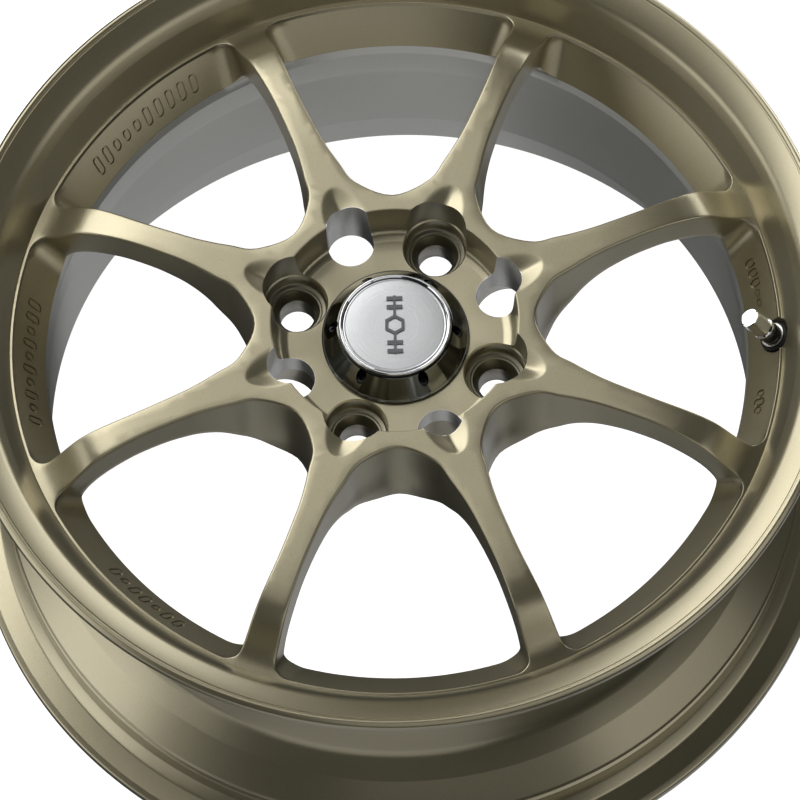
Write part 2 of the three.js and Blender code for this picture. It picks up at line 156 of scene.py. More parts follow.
def rounded(profile, steps=4):
    """Turns a profile of (r, z) and (r, z, radius) points into points, with an arc at each radius."""
    points = []
    for i, corner in enumerate(profile):
        here = np.array(corner[:2], float)
        if len(corner) == 2 or i in (0, len(profile) - 1):
            points.append(here)
            continue
        before = np.array(profile[i - 1][:2]) - here
        after = np.array(profile[i + 1][:2]) - here
        long_before, long_after = np.linalg.norm(before), np.linalg.norm(after)
        a, b = before / long_before, after / long_after
        half = math.acos(np.clip(a @ b, -1, 1)) / 2
        reach = min(corner[2] / math.tan(half), 0.49 * long_before, 0.49 * long_after)
        radius = reach * math.tan(half)
        centre = here + (a + b) / np.linalg.norm(a + b) * radius / math.sin(half)
        u, v = here + a * reach - centre, here + b * reach - centre
        angle = math.pi - 2 * half
        for k in range(steps + 1):
            t = k / steps
            arc = math.sin((1 - t) * angle) * u + math.sin(t * angle) * v
            points.append(centre + arc / math.sin(angle))
    return points


def turned(profile, count, steps=4):
    """A closed solid of revolution. The profile starts and ends on the axis, or closes on itself."""
    points = rounded(profile, steps)
    surface = Surface()
    on_axis = points[0][0] == 0
    if on_axis:
        surface.lid(ring(*points[1], count))
        surface.lid(ring(*points[-2], count))
        points = points[1:-1]
    rows = [ring(r, z, count) for r, z in points]
    if not on_axis:
        rows.append(rows[0])
    return surface.grid(rows)


def soften(piece, angle=32):
    """Smooth shading, with edges sharper than angle kept."""
    piece.data.shade_smooth()
    piece.data.set_sharp_from_angle(angle=angle * DEG)
    return piece


def carve(piece, cutters):
    """Cuts away solids that don't touch one another."""
    cutter = cutters[0]
    if len(cutters) > 1:
        with bpy.context.temp_override(active_object=cutter, selected_editable_objects=cutters):
            bpy.ops.object.join()
    cut = piece.modifiers.new("cut", "BOOLEAN")
    cut.operation = "DIFFERENCE"
    cut.solver = "MANIFOLD"
    cut.object = cutter
    apply_modifiers(piece)
    bpy.data.objects.remove(cutter)
    return piece


def apply_modifiers(piece):
    """Puts the modifiers' result in the mesh, and leaves no modifier."""
    depsgraph = bpy.context.evaluated_depsgraph_get()
    depsgraph.update()
    mesh = bpy.data.meshes.new_from_object(piece.evaluated_get(depsgraph))
    piece.modifiers.clear()
    piece.data = mesh


def spin(angle):
    """A turn about the Z axis."""
    return Matrix.Rotation(angle, 4, "Z")


def monotone(points):
    """A smooth curve through (x, y) points that doesn't overshoot them."""
    x, y = np.array(points, float).T
    step, slope = np.diff(x), np.diff(y) / np.diff(x)
    tangent = np.zeros_like(y)
    same = slope[:-1] * slope[1:] > 0
    w1, w2 = 2 * step[1:] + step[:-1], step[1:] + 2 * step[:-1]
    with np.errstate(divide="ignore", invalid="ignore"):
        mean = (w1 + w2) / (w1 / slope[:-1] + w2 / slope[1:])
    tangent[1:-1] = np.where(same, mean, 0)
    tangent[0], tangent[-1] = slope[0], slope[-1]

    def curve(at):
        at = np.clip(np.asarray(at, float), x[0], x[-1])
        i = np.clip(np.searchsorted(x, at, side="right") - 1, 0, len(x) - 2)
        t = (at - x[i]) / step[i]
        start = (1 + 2 * t) * (1 - t) ** 2 * y[i] + t * (1 - t) ** 2 * step[i] * tangent[i]
        end = t * t * (3 - 2 * t) * y[i + 1] + t * t * (t - 1) * step[i] * tangent[i + 1]
        return start + end

    return curve


# ---- Rim: the turned surface from the ledge's top edge, out over both flanges, to its bottom edge

RIM_PROFILE = [
    (LEDGE_TOP_R, LEDGE_TOP_Z),
    # lip: steep inner wall, satin channel, fine groove and rolled edge
    (181.2, 152.6, 1), (187.6, 164.6, 9), (191.6, 170.6, 9), (203.1, 176.75, 30),
    (203.3, 176.45), (203.8, 176.6), (204.0, 177.3, 0.3), (205.6, WIDTH, 2.2),
    (FLANGE_R, 176, 1.8), (FLANGE_R, 172.6, 1.2),
    # tyre side, from the outboard flange through the well to the inboard flange
    (206.4, 171.2, 0.4), (206.2, 170.7, 0.2), (205.2, 170.4, 0.5), (195.0, 168.2, 3),
    (BEAD_SEAT_R, 163, 3), (189.7, 147, 2), (190.1, 144.6, 1.2), (188.4, 141.6, 1.5),
    (181, 138, 8), (169.3, 119, 24), (169.3, 60, 12), (178, 47, 12),
    (189.4, 32.8, 1.4), (190.3, 31.2, 0.7), (188.3, 28.6, 1), (188.4, 27.4, 1),
    (BEAD_SEAT_R, 26.2, 0.8), (BEAD_SEAT_R, 16.5, 2.5), (194.4, 10.6, 2.5), (204.6, 7.9, 1),
    (FLANGE_R, 6.6, 1.2), (FLANGE_R, 1.6, 1.4), (205.2, 0, 1), (187.4, 0, 1),
    # inner side of the barrel, from back to front
    (185.2, 2.4, 2), (183.4, 30, 6), (166, 57.6, 1.6), (165.1, 106),
    (165.1, 109.2, 0.6), (164.5, 110.2, 0.6), (164.4, 113, 0.4), (163.9, 113.8, 0.6),
    (163.6, 130, 3), (LEDGE_BOTTOM_R, LEDGE_BOTTOM_Z),
]


def add_rim(surface):
    """The rim's turned surface."""
    points = rounded(RIM_PROFILE)
    surface.grid([ring(r, z, TURN) for r, z in points])


# ---- Face: heights of the front and back of hub and spokes at each radius

front = monotone([
    (0, FACE_Z), (100, FACE_Z), (122, 174.9), (140, 173.2), (150, 170.8), (156, 168.2),
    (161, 164.2), (166, 159.4), (171, 155.3), (176, 152.8), (LEDGE_TOP_R, LEDGE_TOP_Z),
])
back = monotone([
    (0, PAD_Z), (66, PAD_Z), (70, 128.6), (76, 133.8), (84, 141.6), (92, 148.2), (100, 152.3),
    (108, 154.8), (120, 156.5), (132, 156.2), (145, 153.8), (153, 150.8), (158, 147.6),
    (161.5, 144), (163.6, 140), (LEDGE_BOTTOM_R, LEDGE_BOTTOM_Z),
])


# Scallops: shallow soft-edged valleys at the spokes' roots, over the holes.
SCALLOP_TIP_R = 74.8
SCALLOP_MOUTH_R = 58.5
SCALLOP_DEPTH = 2.3
SCALLOP_RUN = 13
SCALLOP_GRID = 0.75
SCALLOP_MOUTH_RUN = 1.2
SCALLOP_BAND = 11.25  # half the width of the band of fine points over a scallop
VALLEY_ROUNDNESS = 0.02
VALLEY_BOTTOM, VALLEY_RIM = 0.141, 1.01
scallop_half_width = monotone([
    (0, 0.8), (0.5, 2.7), (1.4, 4.3), (4, 6.4), (8, 8.4), (11, 9.4), (17, 10.6),
])


def dimple(points):
    """Depth of the scallops at flat points."""
    angle = (np.arctan2(points[:, 1], points[:, 0]) % PITCH) - PITCH / 2
    radius = np.linalg.norm(points, axis=1)
    along, across = SCALLOP_TIP_R - radius * np.cos(angle), np.abs(radius * np.sin(angle))
    share = across / scallop_half_width(along)
    valley = (np.sqrt(share**2 + VALLEY_ROUNDNESS) - VALLEY_BOTTOM) / (VALLEY_RIM - VALLEY_BOTTOM)
    side = np.clip(1 - valley, 0, 1)
    depth = SCALLOP_DEPTH * (1 - (1 - np.clip(along / SCALLOP_RUN, 0, 1)) ** 2)
    mouth = np.clip((radius - SCALLOP_MOUTH_R) / SCALLOP_MOUTH_RUN, 0, 1)
    return depth * mouth * 1.25 * side**2 / (side + 0.25)


def scallop_points():
    """A fine grid of points over each scallop."""
    along = np.arange(SCALLOP_MOUTH_R + 0.7, SCALLOP_TIP_R + 1, SCALLOP_GRID)
    across = np.arange(-SCALLOP_BAND, SCALLOP_BAND + 0.05, SCALLOP_GRID)
    x, y = np.meshgrid(along, across)
    grid = np.column_stack([x.ravel(), y.ravel()])
    near = np.abs(grid[:, 1]) < scallop_half_width(SCALLOP_TIP_R - grid[:, 0]) + 1
    return np.concatenate([turn_flat(grid[near], (i + 0.5) * PITCH) for i in range(SPOKES)])


def front_height(points):
    return front(np.linalg.norm(points, axis=1)) - dimple(points)


def back_height(points):
    return back(np.linalg.norm(points, axis=1))


def turn_flat(points, angle):
    """Flat points turned about the axis."""
    c, s = math.cos(angle), math.sin(angle)
    return np.column_stack([points[:, 0] * c - points[:, 1] * s, points[:, 0] * s + points[:, 1] * c])


# ---- Window between two spokes, along its own +X

WINDOW_SIDE = [
    (65.3, 0), (72.8, 17.3), (82.8, 24.5), (92.8, 30.7), (102.8, 35.8), (122.8, 44.5), (142.8, 51.8),
]
SPLINE_STEPS = 5
STRAIGHT_STEPS = 6
CORNER_STEPS = 9
ARC_STEPS = 11  # rim steps from the window's middle to its corner at the ledge's bottom
WALL_LEVELS = [
    # height, outer radius, angle where the corner meets it, inset of the sides
    (LEDGE_BOTTOM_Z, LEDGE_BOTTOM_R, ARC_STEPS * 2 * math.pi / TURN, 1.8),
    (149.7, 178.6, 17.0 * DEG, 0.75),
    (152, 179.2, 17.3 * DEG, 0.65),
    (180, 179.2, 17.3 * DEG, 0),
]
POCKET_Z, POCKET_R = WALL_LEVELS[1][:2]
EDGE_R = 1.1
POCKET_EDGE_R = 0.5
BACK_EDGE_R = 1.0
BACK_EDGE_FADE = 12  # run over which the back edge's rounding fades towards the rim
FOOT_SEARCH_TOP = 160.0
FOOT_STEPS = 24


def side_points():
    """The side from the middle of the inner end, through its points as a Catmull-Rom spline."""
    mirrored = [(x, -y) for x, y in WINDOW_SIDE[:0:-1]]
    points = np.array(mirrored + WINDOW_SIDE + [WINDOW_SIDE[-1]], float)
    samples = []
    for i in range(len(mirrored), len(points) - 2):
        p0, p1, p2, p3 = points[i - 1:i + 3]
        v1, v2 = (p2 - p0) / 2, (p3 - p1) / 2
        for k in range(SPLINE_STEPS):
            t = k / SPLINE_STEPS
            samples.append(
                (2 * p1 - 2 * p2 + v1 + v2) * t**3 + (3 * p2 - 3 * p1 - 2 * v1 - v2) * t**2 + v1 * t + p1
            )
    return np.array(samples + [points[-1]])


def window_outline(outer_r, meet, inset):
    """Half of the outline, from the inner end's middle to the outer arc's middle, mirrored to a loop."""
    side = side_points()
    tangent = np.gradient(side, axis=0)
    tangent[-1] = side[-1] - side[-2]
    tangent /= np.linalg.norm(tangent, axis=1)[:, None]
    inward = np.stack([tangent[:, 1], -tangent[:, 0]], 1)
    side = side + inward * inset
    m, end = inward[-1], side[-1]
    towards = np.array([math.cos(meet), math.sin(meet)])
    corner_r = (outer_r * towards @ m - end @ m) / (1 + towards @ m)
    centre = (outer_r - corner_r) * towards
    foot = centre - m * corner_r
    straight = [end + (foot - end) * k / STRAIGHT_STEPS for k in range(1, STRAIGHT_STEPS)]
    start = math.atan2(-m[1], -m[0])
    corner = []
    for k in range(CORNER_STEPS + 1):
        angle = start + (meet - start) * k / CORNER_STEPS
        corner.append(centre + corner_r * np.array([math.cos(angle), math.sin(angle)]))
    arc = []
    for k in range(1, ARC_STEPS + 1):
        angle = meet * (1 - k / ARC_STEPS)
        arc.append(outer_r * np.array([math.cos(angle), math.sin(angle)]))
    half = np.array([*side, *straight, *corner, *arc])
    return np.concatenate([half, (half * [1, -1])[-2:0:-1]])


def outward(loop):
    """Unit normals of a loop, pointing away from the window."""
    along = np.roll(loop, -1, 0) - np.roll(loop, 1, 0)
    normal = np.stack([-along[:, 1], along[:, 0]], 1)
    normal /= np.linalg.norm(normal, axis=1)[:, None]
    return normal if (normal[0] @ loop[0]) < 0 else -normal


class Window:
    """The walls of one window, as rows of points from the front edge to the back edge."""

    def __init__(self):
        self.levels = [(z, window_outline(r, meet, inset)) for z, r, meet, inset in WALL_LEVELS]
        count = len(self.levels[0][1])
        straight_end = len(side_points()) + STRAIGHT_STEPS - 1
        place = np.minimum(np.arange(count), count - np.arange(count))
        blend = np.clip((place - straight_end) / CORNER_STEPS, 0, 1)
        self.arc = blend * blend * (3 - 2 * blend)  # 0 beside a spoke, 1 on the outer arc
        self.rows = self.make_rows()

    def at(self, z):
        """The outline's points at heights z, one height for each point."""
        out = self.levels[0][1].copy()
        for (z0, low), (z1, high) in zip(self.levels, self.levels[1:]):
            t = np.clip((z - z0) / (z1 - z0), 0, 1)[:, None]
            out = np.where((z > z0)[:, None], low + (high - low) * t, out)
        return out

    def foot(self):
        """Height where each point's wall meets the back surface, by halving an interval."""
        low, high = np.full(len(self.arc), LEDGE_BOTTOM_Z), np.full(len(self.arc), FOOT_SEARCH_TOP)
        for _ in range(FOOT_STEPS):
            middle = (low + high) / 2
            under = back(np.linalg.norm(self.at(middle), axis=1)) > middle
            low, high = np.where(under, middle, low), np.where(under, high, middle)
        return np.where(high - LEDGE_BOTTOM_Z < 0.01, LEDGE_BOTTOM_Z, low)

    def make_rows(self):
        """Rows over the rounded front edge, down the wall and round the back edge."""
        edge = EDGE_R + (POCKET_EDGE_R - EDGE_R) * self.arc
        low_r = np.linalg.norm(self.levels[0][1], axis=1)
        rear = BACK_EDGE_R * np.clip((LEDGE_BOTTOM_R - 2 - low_r) / BACK_EDGE_FADE, 0, 1)
        top_z = front(np.linalg.norm(self.levels[2][1], axis=1)) - edge
        low_z = self.foot() + rear
        mid_z = (top_z - 0.12 * (top_z - low_z)) * (1 - self.arc) + POCKET_Z * self.arc
        rows = []
        top, normal = self.at(top_z), outward(self.at(top_z))
        for turn in np.linspace(0, 90, 6) * DEG:
            flat = top + normal * (edge * (1 - math.sin(turn)))[:, None]
            z = front(np.linalg.norm(flat, axis=1)) - edge * (1 - math.cos(turn))
            rows.append(np.column_stack([flat, z]))
        for t in (0.5, 1):
            z = top_z + (mid_z - top_z) * t
            rows.append(np.column_stack([self.at(z), z]))
        for t in np.linspace(0, 1, 8)[1:]:
            z = mid_z + (low_z - mid_z) * t
            rows.append(np.column_stack([self.at(z), z]))
        low, normal = self.at(low_z), outward(self.at(low_z))
        for turn in np.array([30, 60, 90]) * DEG:
            flat = low + normal * (rear * (1 - math.cos(turn)))[:, None]
            z = back(np.linalg.norm(flat, axis=1)) + rear * (1 - math.sin(turn))
            rows.append(np.column_stack([flat, z]))
        return rows


def inside(points, loop):
    """Which points lie inside a closed loop."""
    x, y = points[:, :1], points[:, 1:2]
    x0, y0 = loop[:, 0], loop[:, 1]
    x1, y1 = np.roll(x0, -1), np.roll(y0, -1)
    crosses = (y0 > y) != (y1 > y)
    with np.errstate(divide="ignore", invalid="ignore"):
        at = x0 + (y - y0) * (x1 - x0) / (y1 - y0)
    return (crosses & (x < at)).sum(1) % 2 == 1


def thinned(points, others, gap):
    """The points that lie further than gap from all the others."""
    keep = []
    for start in range(0, len(points), 500):
        part = points[start:start + 500]
        keep.append(np.linalg.norm(part[:, None] - others[None], axis=2).min(1) > gap)
    return points[np.concatenate(keep)]


SHEET_GAP = 0.45  # least gap from a fill point to an edge point, in spacings


def add_sheet(surface, outer, inner, holes, radii, spacing, height, fine=None):
    """A sheet with round outer and inner edges and holes. height says how high each point is.

    fine holds closer points, which take the place of the rings' points near them.
    """
    loops = [outer, inner, *holes]
    fill = []
    for i, radius in enumerate(radii):
        count = int(2 * math.pi * radius / spacing)
        fill.append(ring(radius, 0, count, start=(i % 2) * math.pi / count)[:, :2])
    fill = np.concatenate(fill)
    rim = np.concatenate(loops)
    gap = spacing * SHEET_GAP
    if fine is not None:
        fine = thinned(fine, rim, SCALLOP_GRID * 0.6)
        fill = np.concatenate([fine, thinned(fill, np.concatenate([rim, fine]), gap)])
    else:
        fill = thinned(fill, rim, gap)
    keep = np.ones(len(fill), bool)
    for hole in holes:
        keep &= ~inside(fill, hole)
    points = np.concatenate([rim, fill[keep]])
    edges, base = [], 0
    for loop in loops:
        edges += [(base + i, base + (i + 1) % len(loop)) for i in range(len(loop))]
        base += len(loop)
    verts, _, faces, *_ = delaunay_2d_cdt([Vector(p) for p in points], edges, [], 0, 1e-4)
    flat = np.array([tuple(v) for v in verts])
    faces = np.array([tuple(f) for f in faces])
    middle = flat[faces].mean(1)
    keep = np.linalg.norm(middle, axis=1) > np.linalg.norm(inner[0])
    for hole in holes:
        keep &= ~inside(middle, hole)
    solid = np.column_stack([flat, height(flat)])
    surface.patch(solid, faces[keep].tolist())


# ---- Hub: the turned surface from the face's edge down the recess and through the bore

FACE_EDGE_R = RECESS_R + 0.9
PAD_EDGE_R = BORE_R + 1.5
HUB_PROFILE = [
    (FACE_EDGE_R, FACE_Z), (RECESS_R, FACE_Z, 0.9), (56.3, FLOOR_Z + 6, 12), (55.2, FLOOR_Z + 1.2, 4),
    (50.5, FLOOR_Z, 5), (CAP_BORE_R + 1, FLOOR_Z, 0.4), (CAP_BORE_R, FLOOR_Z - 1, 0.4),
    (CAP_BORE_R, FLOOR_Z - 9.5), (BORE_R, FLOOR_Z - 9.5, 0.8), (BORE_R, PAD_Z + 1.5, 0.4),
    (PAD_EDGE_R, PAD_Z),
]


FRONT_SPACING = 3.2
BACK_SPACING = 3.6


def wheel_shape():
    """The whole forging as one closed surface, before its holes are cut."""
    surface = Surface()
    add_rim(surface)
    window = Window()
    fronts, backs = [], []
    for i in range(SPOKES):
        rows = []
        for row in window.rows:
            rows.append(np.column_stack([turn_flat(row[:, :2], i * PITCH), row[:, 2]]))
        surface.grid(rows)
        fronts.append(rows[0][:, :2])
        backs.append(rows[-1][:, :2])
    face_edge = ring(FACE_EDGE_R, 0, HUB_TURN)[:, :2]
    pad_edge = ring(PAD_EDGE_R, 0, HUB_TURN)[:, :2]
    ledge_top = ring(LEDGE_TOP_R, 0, TURN)[:, :2]
    ledge_bottom = ring(LEDGE_BOTTOM_R, 0, TURN)[:, :2]
    radii = [*np.arange(62, 140, 6), *np.arange(142, 180, 1.8)]
    add_sheet(surface, ledge_top, face_edge, fronts, radii, FRONT_SPACING, front_height, scallop_points())
    radii = [45, 56, *np.arange(64, 150, 3.6), *np.arange(152, 164, 1.6), 163.9]
    add_sheet(surface, ledge_bottom, pad_edge, backs, radii, BACK_SPACING, back_height)
    surface.grid([ring(r, z, HUB_TURN) for r, z in rounded(HUB_PROFILE)])
    return surface.build("wheel_body")


# ---- Cuts in the hub and the ledge

COUNTERBORE_R = 14.4
SHOULDER_Z = FLOOR_Z - 8
SEAT_Z = SHOULDER_Z - 6
LUG_R = 8.2
LIGHTENING_CIRCLE_R = 52.8
LIGHTENING_R = 10.9
REAR_POCKET_R = 16.3
REAR_POCKET_SHIFT = 5
REAR_POCKET_Z = 144.5
OPEN_Z = FACE_Z + 6


def lug_cutter():
    """A stepped lug hole with a conical seat, in place beside the hub's axis."""
    return turned([
        (0, PAD_Z - 4), (LUG_R + 4.5, PAD_Z - 4), (LUG_R, PAD_Z + 4), (LUG_R, SEAT_Z + 0.4, 0.5),
        (10.4, SHOULDER_Z - 1.4, 0.4), (10.9, SHOULDER_Z - 0.6), (11.7, SHOULDER_Z - 0.6, 0.5),
        (12.1, SHOULDER_Z, 0.4), (COUNTERBORE_R, SHOULDER_Z, 1.6), (COUNTERBORE_R, FLOOR_Z - 0.7),
        (COUNTERBORE_R + 0.7, FLOOR_Z), (COUNTERBORE_R + 0.7, OPEN_Z), (0, OPEN_Z),
    ], SMALL_TURN)


def lightening_cutter():
    """A hole with a leaning pocket behind it, in place beside the hub's axis."""
    circles = [
        (REAR_POCKET_SHIFT + 1, REAR_POCKET_R + 2, PAD_Z - 4), (REAR_POCKET_SHIFT, REAR_POCKET_R, PAD_Z),
        (0, LIGHTENING_R + 0.4, REAR_POCKET_Z), (0, LIGHTENING_R, REAR_POCKET_Z + 0.4),
        (0, LIGHTENING_R, OPEN_Z),
    ]
    rows = [ring(r, z, SMALL_TURN) + [shift, 0, 0] for shift, r, z in circles]
    return Surface().grid(rows).lid(rows[0]).lid(rows[-1])


def valve_place():
    """The valve's own frame: its origin on the ledge, its Z axis along the valve."""
    return Matrix.Translation(VALVE_PLACE) @ Matrix.Rotation(-VALVE_TILT, 4, "Y")


def valve_cutter():
    """The valve's hole with its spot-face and dished seat, in the valve's own frame."""
    return turned([
        (0, -17), (9.5, -17), (9.5, -8), (4.25, -8), (4.25, -2.4), (7.5, -2.4, 0.8),
        (8, -0.6), (8.9, 0.8, 1.2), (9.6, 6), (0, 6),
    ], SMALL_TURN)


# Engraved marks on the ledge: plain outlined bars that stand for nothing, in groups.
# Each group: middle angle in degrees, pitch, bar height, bar slant, and the bars' relative heights.
MARKS = [
    (133.5, 6.9, 9.6, 0.16, (1, 1, 0.62, 0.62, 0.62, 1, 1, 1, 1, 1)),
    (180.5, 6.7, 8.8, 0.16, (1, 0.62, 1, 0.62, 1, 0.62, 1, 0.62, 1, 1)),
    (-133.5, 6.6, 8.8, 0.16, (1, 1, 0.62, 1, 1, 0.62, 1)),
    (10.2, 5.2, 6.4, 0, (1, 1, 1, 0.6, 0.6)),
    (-10.6, 4.4, 7.2, 0, (0.7, 1, 0.7)),
]
GROOVE_DEPTH = 1.0
GROOVE_WIDTH = 0.95
GROOVE_TOP = 1.5
BAR_WIDTH = 4.3
BAR_ARC_STEPS = 9


def bar_loop(width, height, slant):
    """A slanted stadium of that width and height."""
    radius = width / 2
    ends = np.linspace(0, 180, BAR_ARC_STEPS), np.linspace(180, 360, BAR_ARC_STEPS)
    turns = np.concatenate(ends) * DEG
    lift = np.repeat([height / 2 - radius, radius - height / 2], BAR_ARC_STEPS)
    x, y = radius * np.cos(turns), radius * np.sin(turns) + lift
    return np.column_stack([x + slant * y, y])


def mark_cutters():
    """One ring-shaped cutter for each outlined bar, square to the ledge's 45 degree slope."""
    middle_r = (POCKET_R + LEDGE_BOTTOM_R) / 2
    middle_z = (POCKET_Z + LEDGE_BOTTOM_Z) / 2
    cutters = []
    for middle, pitch, height, slant, bars in MARKS:
        for i, share in enumerate(bars):
            angle = middle * DEG - (i - (len(bars) - 1) / 2) * pitch / middle_r
            outer = bar_loop(BAR_WIDTH, height * share, slant)
            inner = bar_loop(BAR_WIDTH - 2 * GROOVE_WIDTH, height * share - 2 * GROOVE_WIDTH, slant)
            rows = []
            corners = [
                (outer, -GROOVE_DEPTH), (outer, GROOVE_TOP), (inner, GROOVE_TOP), (inner, -GROOVE_DEPTH),
            ]
            for loop, z in corners:
                rows.append(np.column_stack([loop, np.full(len(loop), z)]))
            along = Matrix((
                (0, math.sqrt(0.5), -math.sqrt(0.5), middle_r),
                (-1, 0, 0, 0),
                (0, math.sqrt(0.5), math.sqrt(0.5), middle_z),
                (0, 0, 0, 1),
            ))
            place = spin(angle) @ along
            cutters.append(Surface().grid([*rows, rows[0]]).build("mark", place))
    return cutters


def carve_wheel(body):
    """Cuts the hub's holes and the valve's seat, then the marks."""
    cutters = []
    for i in range(SPOKES):
        is_lug_hole = i % 2 == 1
        shape = lug_cutter() if is_lug_hole else lightening_cutter()
        out = BOLT_CIRCLE_R if is_lug_hole else LIGHTENING_CIRCLE_R
        place = spin((i + 0.5) * PITCH) @ Matrix.Translation((out, 0, 0))
        cutters.append(shape.build("hole", place))
    cutters.append(valve_cutter().build("valve_seat", valve_place()))
    carve(body, cutters)
    return carve(body, mark_cutters())


# ---- Materials


class Look:
    """A Principled material with object coordinates in millimetres, and short helpers for its nodes."""

    def __init__(self, name, color, metallic=0.0, roughness=0.5, **sockets):
        self.material = bpy.data.materials.new(name)
        self.material.use_nodes = True
        self.nodes = self.material.node_tree.nodes
        self.links = self.material.node_tree.links
        self.shader = self.nodes["Principled BSDF"]
        self.set("Base Color", (*color, 1))
        self.set("Metallic", metallic)
        self.set("Roughness", roughness)
        for socket, value in sockets.items():
            self.set(socket.replace("_", " "), value)
        self.place = self.nodes.new("ShaderNodeTexCoord").outputs["Object"]

    def set(self, socket, value):
        """Links a node's output to one of the shader's sockets, or sets the socket's own value."""
        target = self.shader.inputs[socket]
        if isinstance(value, bpy.types.NodeSocket):
            self.links.new(value, target)
        else:
            target.default_value = value

    def node(self, kind, output, operation=None, **inputs):
        """Adds a node and gives one of its outputs. i0, i1 name its inputs by number."""
        made = self.nodes.new(kind)
        if operation:
            made.operation = operation
        for key, value in inputs.items():
            slot = int(key[1:]) if key[0] == "i" and key[1:].isdigit() else key.replace("_", " ")
            if isinstance(value, bpy.types.NodeSocket):
                self.links.new(value, made.inputs[slot])
            else:
                made.inputs[slot].default_value = value
        return made.outputs[output]

    def noise(self, scale, detail=2.0, stretch=None):
        place = self.place
        if stretch:
            place = self.node("ShaderNodeMapping", "Vector", Vector=place, Scale=stretch)
        return self.node("ShaderNodeTexNoise", "Fac", Vector=place, Scale=scale, Detail=detail)

    def spread(self, value, low, high, start=0.0, end=1.0):
        """Maps value from start..end to low..high."""
        inputs = {"Value": value, "From_Min": start, "From_Max": end, "To_Min": low, "To_Max": high}
        return self.node("ShaderNodeMapRange", "Result", **inputs)

    def math(self, operation, a, b=0.0):
        return self.node("ShaderNodeMath", "Value", operation, i0=a, i1=b)

    def radius(self):
        """Distance from the Z axis, in metres."""
        flat = self.node("ShaderNodeVectorMath", "Vector", "MULTIPLY", i0=self.place, i1=(1, 1, 0))
        return self.node("ShaderNodeVectorMath", "Value", "LENGTH", i0=flat)

    def mix(self, share, low, high):
        made = self.nodes.new("ShaderNodeMix")
        made.data_type = "RGBA"
        for slot, value in (("Factor_Float", share), ("A_Color", low), ("B_Color", high)):
            target = next(s for s in made.inputs if s.identifier == slot)
            if isinstance(value, bpy.types.NodeSocket):
                self.links.new(value, target)
            else:
                target.default_value = (*value, 1) if isinstance(value, tuple) else value
        return next(s for s in made.outputs if s.identifier == "Result_Color")

    def bump(self, height, distance, strength=1.0):
        normal = self.node(
            "ShaderNodeBump", "Normal", Height=height, Distance=distance * MM, Strength=strength
        )
        self.set("Normal", normal)


BRONZE = (0.345, 0.305, 0.185)
BRONZE_DEEP = (0.31, 0.272, 0.16)
BARREL_GREY = (0.68, 0.68, 0.64)
BORE_GREY = (0.75, 0.75, 0.73)
# Near-black colour of the painted shade in the lug holes.
LUG_HOLE_PAINTED_SHADE = (0.03, 0.03, 0.02)
SEAT_SHADE = 0.5
BRONZE_METALLIC = 0.8
BARREL_METALLIC = 0.35
BARREL_INNER_R = 163
BARREL_CONE = ((186.6, 31), (168, 58))  # radius and height of two points just outside the barrel's inside


def bronze_look():
    """Satin bronze: greyer inside the barrel, bare in the lightening holes, with painted shade darkening
    the lug holes.
    """
    look = Look(
        "bronze_coat", BRONZE, BRONZE_METALLIC, 0.32, Coat_Weight=1.0, Coat_Roughness=0.3, Coat_IOR=1.65
    )
    broad = look.noise(9, 3)
    paint = look.mix(look.spread(broad, 0, 1, 0.35, 0.65), BRONZE, BRONZE_DEEP)
    barrel = barrel_mask(look)
    bore = hole_mask(look, -PITCH / 2, LIGHTENING_CIRCLE_R, LIGHTENING_R + 0.1)
    # Painted shade: the inside of the lug holes' counterbores is mixed halfway to near-black, standing in
    # for the shade in these recesses.
    seat = hole_mask(look, PITCH / 2, BOLT_CIRCLE_R, COUNTERBORE_R - 0.1)
    paint = look.mix(look.math("MULTIPLY", seat, SEAT_SHADE), paint, LUG_HOLE_PAINTED_SHADE)
    look.set("Base Color", look.mix(bore, look.mix(barrel, paint, BARREL_GREY), BORE_GREY))
    look.set("Metallic", look.spread(barrel, BRONZE_METALLIC, BARREL_METALLIC))
    grain = look.noise(2600, 2)
    look.set("Roughness", look.spread(grain, 0.27, 0.37, 0.3, 0.7))
    look.bump(look.noise(1500, 3), 0.015, 0.3)
    return look.material


def hole_mask(look, turn, circle_r, hole_r):
    """1 inside four holes a quarter turn apart. turn brings the first one to +X."""
    turned_place = look.node("ShaderNodeVectorRotate", "Vector", Vector=look.place, Angle=turn)
    folded = look.node("ShaderNodeVectorMath", "Vector", "ABSOLUTE", i0=turned_place)
    x = look.node("ShaderNodeSeparateXYZ", "X", Vector=folded)
    y = look.node("ShaderNodeSeparateXYZ", "Y", Vector=folded)
    across = look.node(
        "ShaderNodeCombineXYZ", "Vector", X=look.math("MAXIMUM", x, y), Y=look.math("MINIMUM", x, y)
    )
    gap = look.node("ShaderNodeVectorMath", "Value", "DISTANCE", i0=across, i1=(circle_r * MM, 0, 0))
    return look.math("LESS_THAN", gap, hole_r * MM)


def barrel_mask(look):
    """1 on the inner side of the barrel, behind the ledge's sharp bottom edge, where the coat is thin."""
    height = look.node("ShaderNodeSeparateXYZ", "Z", Vector=look.place)
    radius = look.radius()
    (low_r, low_z), (high_r, high_z) = BARREL_CONE
    limit = look.spread(height, low_r * MM, high_r * MM, low_z * MM, high_z * MM)
    within = look.math("LESS_THAN", radius, limit)
    outside = look.math("GREATER_THAN", radius, BARREL_INNER_R * MM)
    below = look.math("LESS_THAN", height, (LEDGE_BOTTOM_Z - 0.2) * MM)
    return look.math("MULTIPLY", look.math("MULTIPLY", within, below), outside)


def chrome_look(name, color, roughness):
    look = Look(name, color, metallic=1.0, roughness=roughness)
    look.set("Roughness", look.spread(look.noise(300, 3), roughness * 0.7, roughness * 1.5, 0.3, 0.7))
    look.bump(look.noise(60, 2), 0.02, 0.15)
    return look.material


